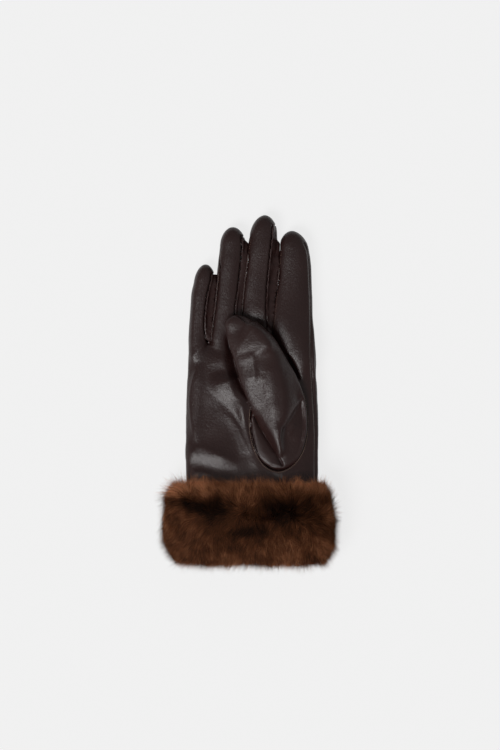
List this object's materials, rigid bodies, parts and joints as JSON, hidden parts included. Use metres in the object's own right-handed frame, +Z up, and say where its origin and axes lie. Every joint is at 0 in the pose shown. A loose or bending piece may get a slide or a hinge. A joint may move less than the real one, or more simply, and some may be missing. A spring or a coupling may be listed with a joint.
{
  "type": "fur-trimmed leather glove, right hand",
  "caption": "Right-hand dark brown leather dress glove with a deep brown fur cuff, lying palm up with the thumb laid over the palm.",
  "frame": {"origin": "bottom centre of the whole glove's box, on the surface that it lies on", "axes": "+Y from the cuff to the fingertips, +Z up from the back of the hand to the palm, +X towards the index finger and thumb side"},
  "size_m": [0.1206, 0.2462, 0.0362],
  "materials": {
    "leather": "smooth nappa leather, dark brown, soft sheen",
    "gusset_leather": "smooth nappa leather, dark brown, gathered",
    "fur": "dense soft fur, mid brown with near-black patches"
  },
  "bodies": {
    "root": {"back_panel": "leather", "palm_panel": "leather", "little_finger_front": "leather", "ring_finger_front": "leather", "middle_finger_front": "leather", "index_finger_front": "leather", "thumb": "leather", "fourchette_little_ring": "gusset_leather", "fourchette_ring_middle": "gusset_leather", "fourchette_middle_index": "gusset_leather", "fur_cuff": "fur"}
  },
  "joints": []
}
